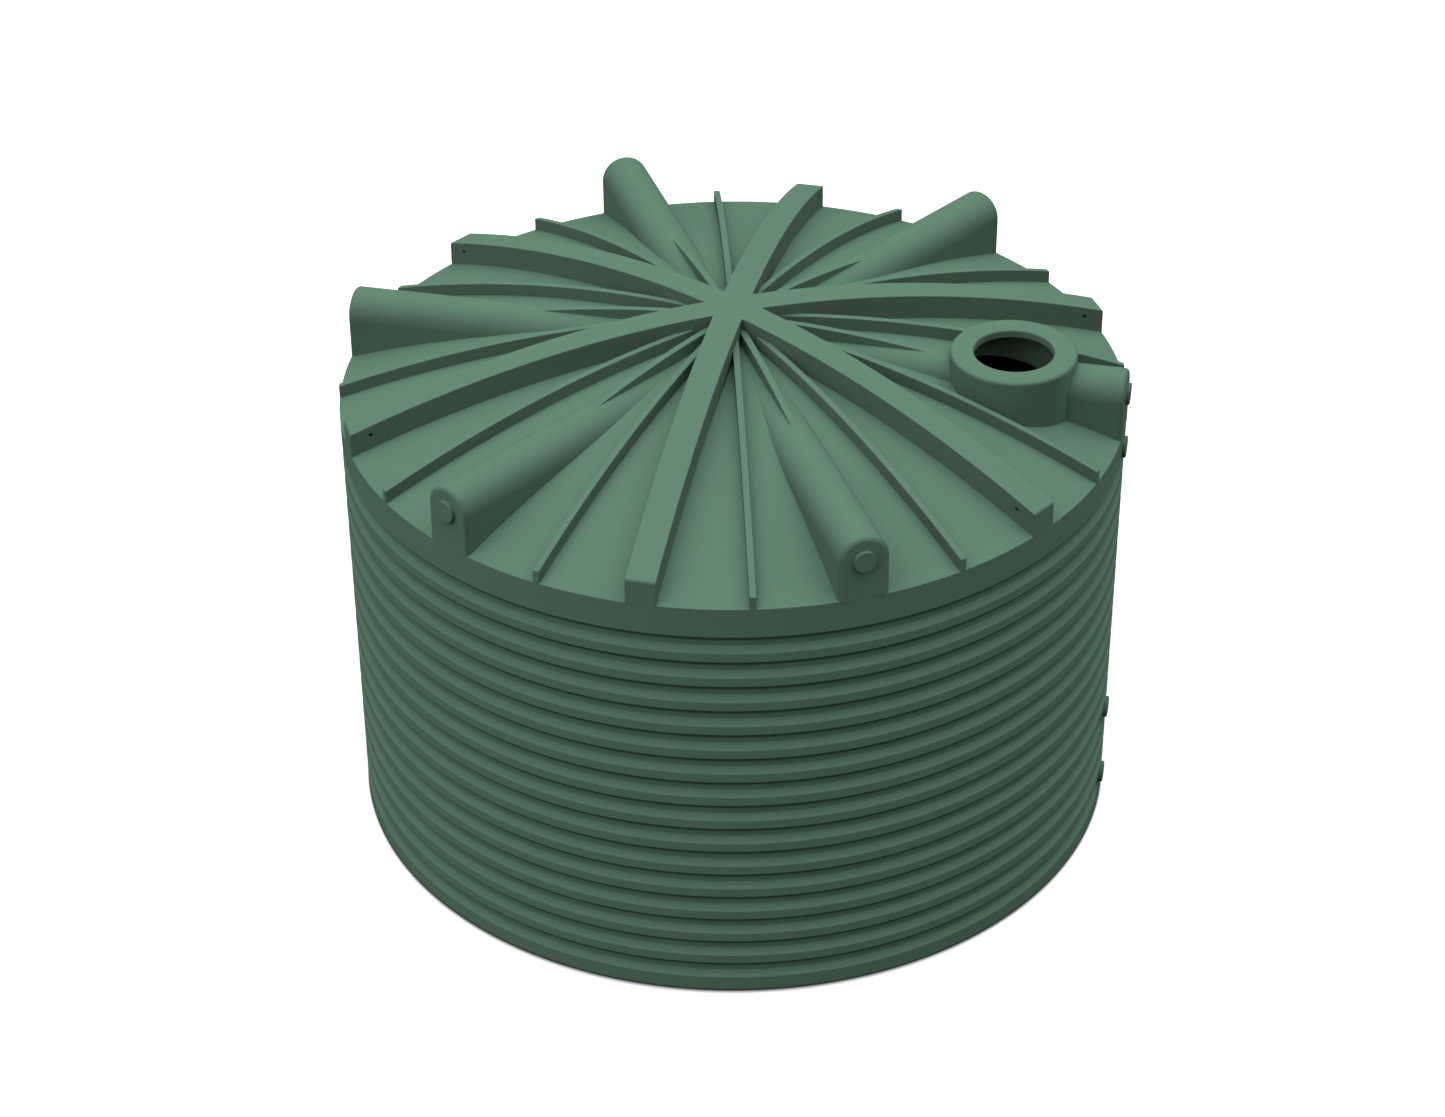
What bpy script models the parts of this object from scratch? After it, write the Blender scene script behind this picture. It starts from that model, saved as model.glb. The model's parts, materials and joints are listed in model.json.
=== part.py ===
"""Round polyethylene rainwater tank with a corrugated wall, a ribbed domed roof and a manhole collar.

Metres, +Z up. The origin is the centre of the base, and the manhole lies towards +X.
"""

import math

import bmesh
import bpy
from mathutils import Matrix, Vector

# Driving sizes of the tank
TANK_RADIUS = 1.975
WALL_HEIGHT = 2.280
WALL_SKIN = 0.012
FLOOR_SKIN = 0.014
GAP = 0.0003

# Corrugated wall: a smooth band at the top, then ridges with a flat face, then a taller base ridge
BAND_HEIGHT = 0.158
RIDGE_PITCH = 0.1395
RIDGE_FACE = 0.0465
RIDGE_DEPTH = 0.013
UNDERCUT_HEIGHT = 0.023
VALLEY_HEIGHT = 0.027

# Domed roof
ROOF_RISE = 0.345
ROOF_SKIN = 0.012
ROOF_RINGS = 9
HUB_PLUG_RADIUS = 0.100

# Ribs that stand on the dome, all of constant height
MAIN_RIB_WIDTH = 0.146
MAIN_RIB_HEIGHT = 0.126
MAIN_RIB_END_ROUND = 0.010
NARROW_RIB_WIDTH = 0.0325
NARROW_RIB_HEIGHT = 0.067
NARROW_RIB_ANGLE = 15.0
SHORT_RIB_TAIL = 0.020

# Lifting hole through the outer end of each main rib
LIFTING_HOLE_RADIUS = 0.012
LIFTING_HOLE_FROM_RIM = 0.104
LIFTING_HOLE_ABOVE_RIM = 0.109

# Round-backed hump in the middle of each sector, with a flat end face at the rim
HUMP_HALF_WIDTH = 0.124
HUMP_ARCH_CENTRE = 0.205
HUMP_END_ROUND = 0.022
HUMP_START = 0.340

# Round pads for pipe fittings, on the hump ends and down the wall
PAD_RADIUS = 0.055
PAD_PROUD = 0.017
BAND_PAD_BELOW_RIM = 0.101
WALL_PAD_HEIGHTS = (0.583, 0.158)

# Manhole collar
COLLAR_FROM_RIM = 0.566
COLLAR_X = TANK_RADIUS - COLLAR_FROM_RIM
COLLAR_RADIUS = 0.3133
COLLAR_ABOVE_RIM = 0.3786
COLLAR_SKIN = 0.019
COLLAR_TOP_SKIN = 0.039
COLLAR_EDGE_ROUND = 0.018
MANHOLE_RADIUS = 0.198
MANHOLE_EDGE_ROUND = 0.010

# Facets
SECTORS = 6
SECTOR_ANGLE = 360.0 / SECTORS
STEPS_PER_SECTOR = 8
LEAST_FACET = 0.010
ARCH_STEPS = 12
PAD_STEPS = 20
HOLE_STEPS = 12
COLLAR_STEPS = 40
ROUND_STEPS = 2
SEAT_STEPS = 4
SHARP_ANGLE = 30.0
MERGE_DISTANCE = 0.0001

# How far cutters reach past what they cut
CUTTER_REACH = 0.150

POLYETHYLENE_GREEN = (0.135, 0.262, 0.180, 1.0)
POLYETHYLENE_ROUGHNESS = 0.62


def clear_scene():
    for item in list(bpy.data.objects):
        bpy.data.objects.remove(item, do_unlink=True)


def new_collection(name):
    collection = bpy.data.collections.new(name)
    bpy.context.scene.collection.children.link(collection)
    return collection


def green_plastic(name):
    material = bpy.data.materials.new(name + "_polyethylene")
    material.use_nodes = True
    shader = material.node_tree.nodes["Principled BSDF"]
    shader.inputs["Base Color"].default_value = POLYETHYLENE_GREEN
    shader.inputs["Roughness"].default_value = POLYETHYLENE_ROUGHNESS
    shader.inputs["Metallic"].default_value = 0.0
    return material


def new_object(name, mesh, collection):
    item = bpy.data.objects.new(name, mesh)
    collection.objects.link(item)
    return item


def finish_piece(item, azimuth=0.0):
    """Gives a piece its material, its place round the tank's axis and its smooth shading."""
    item.data.materials.append(green_plastic(item.name))
    item.rotation_euler.z = math.radians(azimuth)
    item.parent = tank
    item.data.shade_smooth()
    item.data.set_sharp_from_angle(angle=math.radians(SHARP_ANGLE))
    return item


def mark_as_cutter(item):
    item.hide_render = True
    item.display_type = "WIRE"
    return item


def cut_away(item, cutter):
    modifier = item.modifiers.new("cut by " + cutter.name, "BOOLEAN")
    modifier.operation = "DIFFERENCE"
    modifier.solver = "EXACT"
    modifier.object = cutter


def join_on(item, addition):
    modifier = item.modifiers.new("joined with " + addition.name, "BOOLEAN")
    modifier.operation = "UNION"
    modifier.solver = "EXACT"
    modifier.object = addition


def arc(centre_x, centre_z, radius, start, end, steps):
    """Points on an arc in the XZ plane, from one angle in degrees to another."""
    points = []
    for step in range(steps + 1):
        angle = math.radians(start + (end - start) * step / steps)
        points.append((centre_x + radius * math.cos(angle), centre_z + radius * math.sin(angle)))
    return points


def mesh_from_bmesh(name, bm):
    bmesh.ops.recalc_face_normals(bm, faces=bm.faces)
    mesh = bpy.data.meshes.new(name)
    bm.to_mesh(mesh)
    bm.free()
    return mesh


def spun_wedge(name, outline, start, end, steps):
    """Turns a closed outline of radius and height about the tank's axis, from one azimuth to another."""
    bm = bmesh.new()
    turn = Matrix.Rotation(math.radians(start), 3, "Z")
    corners = [bm.verts.new(turn @ Vector((radius, 0.0, height))) for radius, height in outline]
    face = bm.faces.new(corners)
    bmesh.ops.spin(
        bm,
        geom=[face] + face.edges[:] + face.verts[:],
        axis=(0.0, 0.0, 1.0),
        cent=(0.0, 0.0, 0.0),
        angle=math.radians(end - start),
        steps=steps,
        use_duplicate=False,
    )
    return mesh_from_bmesh(name, bm)


def upright_plate(name, outline, width, collection):
    """A flat outline in the XZ plane, thickened evenly to both sides of it."""
    bm = bmesh.new()
    bm.faces.new([bm.verts.new((along, 0.0, height)) for along, height in outline])
    plate = new_object(name, mesh_from_bmesh(name, bm), collection)
    solidify = plate.modifiers.new("width", "SOLIDIFY")
    solidify.thickness = width
    solidify.offset = 0.0
    return plate


def cylinder(name, radius, depth, steps, place, axis, collection):
    bm = bmesh.new()
    bmesh.ops.create_cone(
        bm, cap_ends=True, segments=steps, radius1=radius, radius2=radius, depth=depth
    )
    item = new_object(name, mesh_from_bmesh(name, bm), collection)
    item.location = place
    item.rotation_euler = Vector(axis).to_track_quat("Z", "Y").to_euler()
    return item


def dome_height(radius):
    """Height of the dome's outer face at a distance from the axis."""
    return WALL_HEIGHT + ROOF_RISE * (1.0 - (radius / TANK_RADIUS) ** 2)


def dome_radii(inner, outer):
    """Distances from the axis at which the dome's facets turn, between two radii."""
    shared = [TANK_RADIUS * ring / ROOF_RINGS for ring in range(ROOF_RINGS + 1)]
    low, high = inner + LEAST_FACET, outer - LEAST_FACET
    between = [radius for radius in shared if low < radius < high]
    return [inner] + between + [outer]


def dome_chord(radius):
    """Height of the faceted dome, which runs straight between its rings."""
    step = TANK_RADIUS / ROOF_RINGS
    ring = min(int(radius / step), ROOF_RINGS - 1)
    low, high = ring * step, (ring + 1) * step
    share = (radius - low) / step
    return dome_height(low) * (1.0 - share) + dome_height(high) * share


def ridge_count():
    """Whole ridges between the band and the base ridge, which takes what is left of the height."""
    return int((WALL_HEIGHT - BAND_HEIGHT) / RIDGE_PITCH) - 1


def ridge_profile(offset):
    """Outer line of the wall, from the rim down, moved outward by an offset."""
    face = TANK_RADIUS + offset
    valley = face - RIDGE_DEPTH
    height = WALL_HEIGHT - BAND_HEIGHT
    line = []
    for ridge in range(ridge_count() + 1):
        slope_end = height - (RIDGE_PITCH - RIDGE_FACE)
        line.append((face, height))
        line.append((valley, height - UNDERCUT_HEIGHT))
        line.append((valley, height - UNDERCUT_HEIGHT - VALLEY_HEIGHT))
        line.append((face, slope_end))
        height -= RIDGE_PITCH
    return line


def make_floor():
    inner_wall = TANK_RADIUS - RIDGE_DEPTH - WALL_SKIN
    flat = math.cos(math.pi / (SECTORS * STEPS_PER_SECTOR))
    floor = cylinder(
        "floor",
        inner_wall - GAP / flat,
        FLOOR_SKIN,
        SECTORS * STEPS_PER_SECTOR,
        (0.0, 0.0, FLOOR_SKIN / 2.0),
        (0.0, 0.0, 1.0),
        tank_parts,
    )
    finish_piece(floor)


def make_wall_segments():
    top = WALL_HEIGHT - ROOF_SKIN - GAP
    inner_wall = TANK_RADIUS - RIDGE_DEPTH - WALL_SKIN
    outline = [(TANK_RADIUS, top)] + ridge_profile(0.0)
    outline += [(TANK_RADIUS, 0.0), (inner_wall, 0.0), (inner_wall, top)]
    seam = math.degrees(GAP / TANK_RADIUS / 2.0)
    for sector in range(SECTORS):
        name = f"wall_segment_{sector + 1}"
        half = SECTOR_ANGLE / 2.0 - seam
        mesh = spun_wedge(name, outline, -half, half, STEPS_PER_SECTOR)
        finish_piece(new_object(name, mesh, tank_parts), sector * SECTOR_ANGLE)


def make_roof_panels(collar_cutter):
    radii = dome_radii(HUB_PLUG_RADIUS, TANK_RADIUS)
    outside = [(radius, dome_chord(radius)) for radius in radii]
    inside = [(radius, height - ROOF_SKIN) for radius, height in reversed(outside)]
    seam = math.degrees(GAP / TANK_RADIUS / 2.0)
    for sector in range(SECTORS):
        name = f"roof_panel_{sector + 1}"
        half = SECTOR_ANGLE / 2.0 - seam
        mesh = spun_wedge(name, outside + inside, -half, half, STEPS_PER_SECTOR)
        panel = finish_piece(new_object(name, mesh, tank_parts), sector * SECTOR_ANGLE)
        if sector == 0:
            cut_away(panel, collar_cutter)


def dome_cutter(name, lift):
    """Everything under the dome's outer face, raised or lowered, with a level brim past the rim."""
    outline = [(radius, dome_chord(radius) + lift) for radius in dome_radii(0.0, TANK_RADIUS)]
    brim = TANK_RADIUS + CUTTER_REACH
    outline.append((brim, WALL_HEIGHT + lift))
    outline.append((brim, WALL_HEIGHT - CUTTER_REACH))
    outline.append((0.0, WALL_HEIGHT - CUTTER_REACH))
    bm = bmesh.new()
    corners = [bm.verts.new((radius, 0.0, height)) for radius, height in outline]
    for here, there in zip(corners, corners[1:]):
        bm.edges.new((here, there))
    mesh = bpy.data.meshes.new(name)
    bm.to_mesh(mesh)
    bm.free()
    item = mark_as_cutter(new_object(name, mesh, cutters))
    screw = item.modifiers.new("full turn", "SCREW")
    screw.steps = SECTORS * STEPS_PER_SECTOR
    screw.render_steps = screw.steps
    screw.use_merge_vertices = True
    screw.merge_threshold = MERGE_DISTANCE
    return item


def rib_outline(start, end, height, end_round):
    """Side outline of a rib of constant height on the dome, with its outer top corner rounded."""
    radii = dome_radii(start, end - end_round) if end_round else dome_radii(start, end)
    crest = [(radius, dome_height(radius) + height) for radius in radii]
    if end_round:
        corner_height = dome_height(end - end_round) + height - end_round
        crest += arc(end - end_round, corner_height, end_round, 90.0, 0.0, ROUND_STEPS)[1:]
    foot = WALL_HEIGHT - CUTTER_REACH / 2.0
    return crest + [(end, foot), (start, foot)]


def hub_apothem():
    """Distance from the axis to each of the hub's six sides, each as long as a main rib is wide."""
    return MAIN_RIB_WIDTH / 2.0 / math.tan(math.pi / SECTORS)


def make_hub(dome):
    apothem = hub_apothem()
    corner = apothem / math.cos(math.pi / SECTORS)
    top = dome_height(apothem) + MAIN_RIB_HEIGHT
    foot = WALL_HEIGHT
    hub = cylinder(
        "roof_hub",
        corner,
        top - foot,
        SECTORS,
        (0.0, 0.0, (top + foot) / 2.0),
        (0.0, 0.0, 1.0),
        tank_parts,
    )
    hub.data.transform(Matrix.Rotation(math.pi / 2.0, 4, "Z"))
    plug_foot = dome_height(HUB_PLUG_RADIUS) - ROOF_SKIN
    plug_top = dome_height(0.0) + MAIN_RIB_HEIGHT / 2.0
    plug = cylinder(
        "hub_plug",
        HUB_PLUG_RADIUS - GAP / math.cos(math.pi / SECTORS / STEPS_PER_SECTOR),
        plug_top - plug_foot,
        SECTORS * STEPS_PER_SECTOR,
        (0.0, 0.0, (plug_top + plug_foot) / 2.0),
        (0.0, 0.0, 1.0),
        cutters,
    )
    mark_as_cutter(plug)
    cut_away(hub, dome)
    join_on(hub, plug)
    finish_piece(hub)


def make_main_ribs(dome):
    start = hub_apothem() + GAP
    outline = rib_outline(start, TANK_RADIUS, MAIN_RIB_HEIGHT, MAIN_RIB_END_ROUND)
    for number in range(SECTORS):
        azimuth = (number + 0.5) * SECTOR_ANGLE
        rib = upright_plate(f"main_rib_{number + 1}", outline, MAIN_RIB_WIDTH, tank_parts)
        hole = cylinder(
            f"lifting_hole_{number + 1}",
            LIFTING_HOLE_RADIUS,
            MAIN_RIB_WIDTH + CUTTER_REACH,
            HOLE_STEPS,
            (TANK_RADIUS - LIFTING_HOLE_FROM_RIM, 0.0, WALL_HEIGHT + LIFTING_HOLE_ABOVE_RIM),
            (0.0, 1.0, 0.0),
            cutters,
        )
        mark_as_cutter(hole)
        hole.parent = rib
        cut_away(rib, dome)
        cut_away(rib, hole)
        finish_piece(rib, azimuth)


def rib_star_cutter():
    """The room that the six main ribs take up, with a gap round it."""
    arms = []
    for number in range(SECTORS // 2):
        bm = bmesh.new()
        size = (2.0 * TANK_RADIUS, MAIN_RIB_WIDTH + 2.0 * GAP, WALL_HEIGHT)
        bmesh.ops.create_cube(bm, size=1.0, matrix=Matrix.Diagonal((*size, 1.0)))
        name = f"rib_room_{number + 1}"
        arm = mark_as_cutter(new_object(name, mesh_from_bmesh(name, bm), cutters))
        arm.location.z = WALL_HEIGHT
        arm.rotation_euler.z = math.radians((number + 0.5) * SECTOR_ANGLE)
        arms.append(arm)
    return arms


def rooms_near(rib_rooms, azimuth):
    """The main ribs' rooms that a rib at an azimuth runs into beside the hub."""
    limit = math.radians(SECTOR_ANGLE + NARROW_RIB_ANGLE) / 2.0
    near = []
    for room in rib_rooms:
        between = math.remainder(math.radians(azimuth) - room.rotation_euler.z, math.pi)
        if abs(between) < limit:
            near.append(room)
    return near


def rib_stretches(name, start):
    """Name, start and end of each stretch of a rib, which the collar parts if it stands across it."""
    turn = math.radians(NARROW_RIB_ANGLE)
    far_side = COLLAR_X * math.sin(turn) + NARROW_RIB_WIDTH / 2.0
    if COLLAR_RADIUS < far_side:
        return [(name, start, TANK_RADIUS)]
    middle = COLLAR_X * math.cos(turn)
    return [(name + "_inner", start, middle), (name + "_outer", middle, TANK_RADIUS)]


def make_narrow_ribs(dome, rib_rooms, collar_cutter):
    start = (MAIN_RIB_WIDTH - NARROW_RIB_WIDTH) / 2.0 / math.sin(math.radians(NARROW_RIB_ANGLE))
    number = 0
    for sector in range(SECTORS):
        for side in (-1.0, 1.0):
            number += 1
            azimuth = sector * SECTOR_ANGLE + side * NARROW_RIB_ANGLE
            stretches = [(f"narrow_rib_{number}", start, TANK_RADIUS)]
            if sector == 0:
                stretches = rib_stretches(f"narrow_rib_{number}", start)
            for name, inner_end, outer_end in stretches:
                outline = rib_outline(inner_end, outer_end, NARROW_RIB_HEIGHT, 0.0)
                rib = upright_plate(name, outline, NARROW_RIB_WIDTH, tank_parts)
                cut_away(rib, dome)
                for room in rooms_near(rib_rooms, azimuth):
                    cut_away(rib, room)
                if sector == 0:
                    cut_away(rib, collar_cutter)
                finish_piece(rib, azimuth)


def hump_body(name, start, end, end_round):
    """An arch drawn across the hump and pushed out along it, its outer edge rounded if asked."""
    foot = -CUTTER_REACH / 2.0
    crown = arc(0.0, HUMP_ARCH_CENTRE, HUMP_HALF_WIDTH, 0.0, 180.0, ARCH_STEPS)
    section = [(HUMP_HALF_WIDTH, foot)] + crown + [(-HUMP_HALF_WIDTH, foot)]
    bm = bmesh.new()
    face = bm.faces.new([bm.verts.new((start, y, WALL_HEIGHT + z)) for y, z in section])
    pushed = bmesh.ops.extrude_face_region(bm, geom=[face])
    moved = [part for part in pushed["geom"] if isinstance(part, bmesh.types.BMVert)]
    bmesh.ops.translate(bm, verts=moved, vec=(end - start, 0.0, 0.0))
    if end_round:
        low = WALL_HEIGHT + foot + GAP
        rim = [
            edge
            for edge in bm.edges
            if all(vert.co.x > end - GAP for vert in edge.verts)
            and any(vert.co.z > low for vert in edge.verts)
        ]
        bmesh.ops.bevel(
            bm, geom=rim, offset=end_round, segments=ROUND_STEPS, profile=0.5, affect="EDGES"
        )
    return mesh_from_bmesh(name, bm)


def short_rib_end():
    """Distance from the axis at which a rib's crest has sunk into the hump's crown."""
    crown = HUMP_ARCH_CENTRE + HUMP_HALF_WIDTH
    sunk = 1.0 - (crown - NARROW_RIB_HEIGHT) / ROOF_RISE
    return TANK_RADIUS * math.sqrt(sunk) + SHORT_RIB_TAIL


def hump_pad(name):
    depth = PAD_PROUD + HUMP_END_ROUND
    pad = cylinder(
        name,
        PAD_RADIUS,
        depth,
        PAD_STEPS,
        (TANK_RADIUS + PAD_PROUD - depth / 2.0, 0.0, WALL_HEIGHT + HUMP_ARCH_CENTRE),
        (1.0, 0.0, 0.0),
        cutters,
    )
    return mark_as_cutter(pad)


def make_humps(dome, rib_rooms, collar_cutter):
    short_outline = rib_outline(hub_apothem(), short_rib_end(), NARROW_RIB_HEIGHT, 0.0)
    for sector in range(SECTORS):
        azimuth = sector * SECTOR_ANGLE
        pad = hump_pad(f"hump_pad_{sector + 1}")
        short_rib = upright_plate(
            f"short_rib_{sector + 1}", short_outline, NARROW_RIB_WIDTH, cutters
        )
        mark_as_cutter(short_rib)
        name = f"hump_{sector + 1}"
        if sector == 0:
            inner_mesh = hump_body(name + "_inner", HUMP_START, COLLAR_X, 0.0)
            outer_mesh = hump_body(name + "_outer", COLLAR_X, TANK_RADIUS, HUMP_END_ROUND)
            inner = new_object(name + "_inner", inner_mesh, tank_parts)
            outer = new_object(name + "_outer", outer_mesh, tank_parts)
            cut_away(inner, collar_cutter)
            cut_away(outer, collar_cutter)
        else:
            whole = hump_body(name, HUMP_START, TANK_RADIUS, HUMP_END_ROUND)
            inner = new_object(name, whole, tank_parts)
            outer = inner
        join_on(inner, short_rib)
        join_on(outer, pad)
        cut_away(inner, dome)
        for room in rooms_near(rib_rooms, azimuth):
            cut_away(inner, room)
        finish_piece(inner, azimuth)
        if outer is not inner:
            cut_away(outer, dome)
            finish_piece(outer, azimuth)
        pad.parent = outer
        short_rib.parent = inner


def make_side_pads():
    """Round pads down the wall under the manhole, each seated on the ridges behind it."""
    seat = "wall_seat"
    reach = CUTTER_REACH / 2.0
    inner = TANK_RADIUS - CUTTER_REACH
    outline = [(TANK_RADIUS + GAP, WALL_HEIGHT + reach)] + ridge_profile(GAP)
    outline += [(TANK_RADIUS + GAP, -reach), (inner, -reach), (inner, WALL_HEIGHT + reach)]
    half = SECTOR_ANGLE / STEPS_PER_SECTOR * SEAT_STEPS / 2.0
    wall = mark_as_cutter(
        new_object(seat, spun_wedge(seat, outline, -half, half, SEAT_STEPS), cutters)
    )
    places = {"overflow_pad": WALL_HEIGHT - BAND_PAD_BELOW_RIM}
    for number, height in enumerate(WALL_PAD_HEIGHTS):
        places[f"wall_pad_{number + 1}"] = height
    depth = PAD_PROUD + 2.0 * RIDGE_DEPTH
    for name, height in places.items():
        middle = TANK_RADIUS + PAD_PROUD - depth / 2.0
        pad = cylinder(
            name, PAD_RADIUS, depth, PAD_STEPS, (middle, 0.0, height), (1.0, 0.0, 0.0), tank_parts
        )
        cut_away(pad, wall)
        pad.data.materials.append(green_plastic(name))
        pad.parent = tank
        pad.data.shade_smooth()
        pad.data.set_sharp_from_angle(angle=math.radians(SHARP_ANGLE))


def make_collar(under_dome):
    """Turned collar with a thick top plate, cut level with the inside of the roof."""
    top = WALL_HEIGHT + COLLAR_ABOVE_RIM
    foot = WALL_HEIGHT - CUTTER_REACH / 2.0
    outer_corner = COLLAR_RADIUS - COLLAR_EDGE_ROUND
    hole_corner = MANHOLE_RADIUS + MANHOLE_EDGE_ROUND
    inner = COLLAR_RADIUS - COLLAR_SKIN
    profile = arc(
        hole_corner, top - MANHOLE_EDGE_ROUND, MANHOLE_EDGE_ROUND, 180.0, 90.0, ROUND_STEPS
    )
    profile += arc(
        outer_corner, top - COLLAR_EDGE_ROUND, COLLAR_EDGE_ROUND, 90.0, 0.0, ROUND_STEPS
    )
    profile += [(COLLAR_RADIUS, foot), (inner, foot), (inner, top - COLLAR_TOP_SKIN)]
    profile += [(MANHOLE_RADIUS, top - COLLAR_TOP_SKIN)]
    bm = bmesh.new()
    corners = [bm.verts.new((radius, 0.0, height)) for radius, height in profile]
    for here, there in zip(corners, corners[1:] + corners[:1]):
        bm.edges.new((here, there))
    mesh = bpy.data.meshes.new("manhole_collar")
    bm.to_mesh(mesh)
    bm.free()
    collar = new_object("manhole_collar", mesh, tank_parts)
    collar.location = (COLLAR_X, 0.0, 0.0)
    screw = collar.modifiers.new("full turn", "SCREW")
    screw.steps = COLLAR_STEPS
    screw.render_steps = screw.steps
    screw.use_merge_vertices = True
    screw.merge_threshold = MERGE_DISTANCE
    cut_away(collar, under_dome)
    finish_piece(collar)


clear_scene()
tank_parts = new_collection("rainwater_tank")
cutters = new_collection("cutters_and_joined_shapes")
tank = bpy.data.objects.new("tank", None)
tank_parts.objects.link(tank)

dome = dome_cutter("dome_underside", GAP)
under_dome = dome_cutter("dome_inside", -ROOF_SKIN)
rib_rooms = rib_star_cutter()
collar_hole = mark_as_cutter(
    cylinder(
        "collar_room",
        COLLAR_RADIUS + 2.0 * GAP,
        WALL_HEIGHT,
        COLLAR_STEPS,
        (COLLAR_X, 0.0, WALL_HEIGHT),
        (0.0, 0.0, 1.0),
        cutters,
    )
)

make_floor()
make_wall_segments()
make_roof_panels(collar_hole)
make_hub(dome)
make_main_ribs(dome)
make_narrow_ribs(dome, rib_rooms, collar_hole)
make_humps(dome, rib_rooms, collar_hole)
make_side_pads()
make_collar(under_dome)
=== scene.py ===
"""Looks of a round polyethylene rainwater tank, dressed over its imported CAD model.

Metres, +Z up, the origin in the middle of the base, the manhole towards +X.
"""

import json
import math

import bmesh
import bpy
from mathutils import Matrix, Vector

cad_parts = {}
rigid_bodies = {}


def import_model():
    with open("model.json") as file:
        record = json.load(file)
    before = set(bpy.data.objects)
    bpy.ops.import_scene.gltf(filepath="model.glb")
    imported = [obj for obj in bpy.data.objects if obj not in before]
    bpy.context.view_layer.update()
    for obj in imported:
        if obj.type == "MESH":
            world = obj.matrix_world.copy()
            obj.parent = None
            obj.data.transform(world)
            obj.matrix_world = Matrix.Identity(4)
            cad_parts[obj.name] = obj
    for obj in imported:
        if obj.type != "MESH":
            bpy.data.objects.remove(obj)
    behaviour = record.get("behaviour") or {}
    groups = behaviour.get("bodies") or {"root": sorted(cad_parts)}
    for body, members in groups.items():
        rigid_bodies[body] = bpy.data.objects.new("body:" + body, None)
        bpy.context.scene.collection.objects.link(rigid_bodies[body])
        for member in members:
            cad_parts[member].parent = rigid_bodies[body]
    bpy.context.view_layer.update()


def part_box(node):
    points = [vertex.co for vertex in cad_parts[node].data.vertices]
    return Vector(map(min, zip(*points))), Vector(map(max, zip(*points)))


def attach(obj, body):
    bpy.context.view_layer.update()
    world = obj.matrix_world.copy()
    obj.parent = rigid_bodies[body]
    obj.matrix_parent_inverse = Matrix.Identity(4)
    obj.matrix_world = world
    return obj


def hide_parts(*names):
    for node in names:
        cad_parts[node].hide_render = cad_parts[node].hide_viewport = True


for item in list(bpy.data.objects):
    bpy.data.objects.remove(item, do_unlink=True)
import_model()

# ---------------------------------------------------------------------------
# Moulded skin
# The whole tank is one hollow polyethylene moulding, coloured through in a mid green and matte all
# over. The steel mould leaves a fine orange peel and faint waves, and each charge of powder drifts
# in tone. Upright faces are painted darker as painted shade, faces that look straight out are
# painted paler as painted light, and undersides below the ridges are painted darker as painted
# shade.
# ---------------------------------------------------------------------------
RESIN_COOL = (0.1178, 0.2200, 0.1534, 1.0)
RESIN_WARM = (0.1188, 0.2200, 0.1485, 1.0)
WHITE = (1.0, 1.0, 1.0, 1.0)
CLOUD_SHARE = 0.6
MOTTLE_SHARE = 0.4
ROUGHNESS_DRIFT = 0.10
NOISE_MEAN = 0.5
LEVEL_PART = (1.0, 1.0, 0.0)
# The span of a normal's upward part over which a face goes from upright to lying, of its outward
# part over which it comes to face straight out, and of its upward part where an underside ends.
SIDE_SPAN = (0.30, 0.92)
OUTER_SPAN = (0.80, 0.97)
UNDER_SPAN = (-0.5, -0.1)


def shader_group(name, inputs, outputs):
    """An empty shader node group with named inputs and outputs."""
    group = bpy.data.node_groups.new(name, "ShaderNodeTree")
    for label, (kind, value) in inputs.items():
        socket = group.interface.new_socket(label, in_out="INPUT", socket_type=kind)
        socket.default_value = value
    for label, kind in outputs.items():
        group.interface.new_socket(label, in_out="OUTPUT", socket_type=kind)
    group.nodes.new("NodeGroupInput").name = "in"
    group.nodes.new("NodeGroupOutput").name = "out"
    return group


def add(tree, kind, inputs=None, **settings):
    """Adds a node with its properties, and fills its inputs with values or other nodes' sockets."""
    node = tree.nodes.new(kind)
    for key, value in settings.items():
        setattr(node, key, value)
    by_identifier = {socket.identifier: socket for socket in node.inputs}
    for key, value in (inputs or {}).items():
        socket = by_identifier.get(key) or node.inputs[key]
        if isinstance(value, bpy.types.NodeSocket):
            tree.links.new(value, socket)
        else:
            socket.default_value = value
    return node


def maths(tree, operation, *values):
    """The result of a Math node on two or three values or sockets."""
    return add(tree, "ShaderNodeMath", dict(enumerate(values)), operation=operation).outputs[0]


def vector_maths(tree, operation, *values):
    """The result of a Vector Math node: a number for a length or dot product, or else a vector."""
    node = add(tree, "ShaderNodeVectorMath", dict(enumerate(values)), operation=operation)
    return node.outputs["Value" if operation in ("LENGTH", "DOT_PRODUCT") else "Vector"]


def noise(tree, inputs):
    """The grey value of a Noise Texture."""
    return add(tree, "ShaderNodeTexNoise", inputs).outputs["Fac"]


def mixed(tree, share, first, second):
    """A colour that goes from the first to the second with the share."""
    colours = {"Factor_Float": share, "A_Color": first, "B_Color": second}
    return add(tree, "ShaderNodeMix", colours, data_type="RGBA").outputs["Result"]


def eased(tree, value, span, start, end):
    """A value eased from a start to an end over a span."""
    low, high = span
    levels = {"Value": value, "From Min": low, "From Max": high, "To Min": start, "To Max": end}
    ramp = add(tree, "ShaderNodeMapRange", levels, interpolation_type="SMOOTHSTEP")
    return ramp.outputs["Result"]


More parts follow.
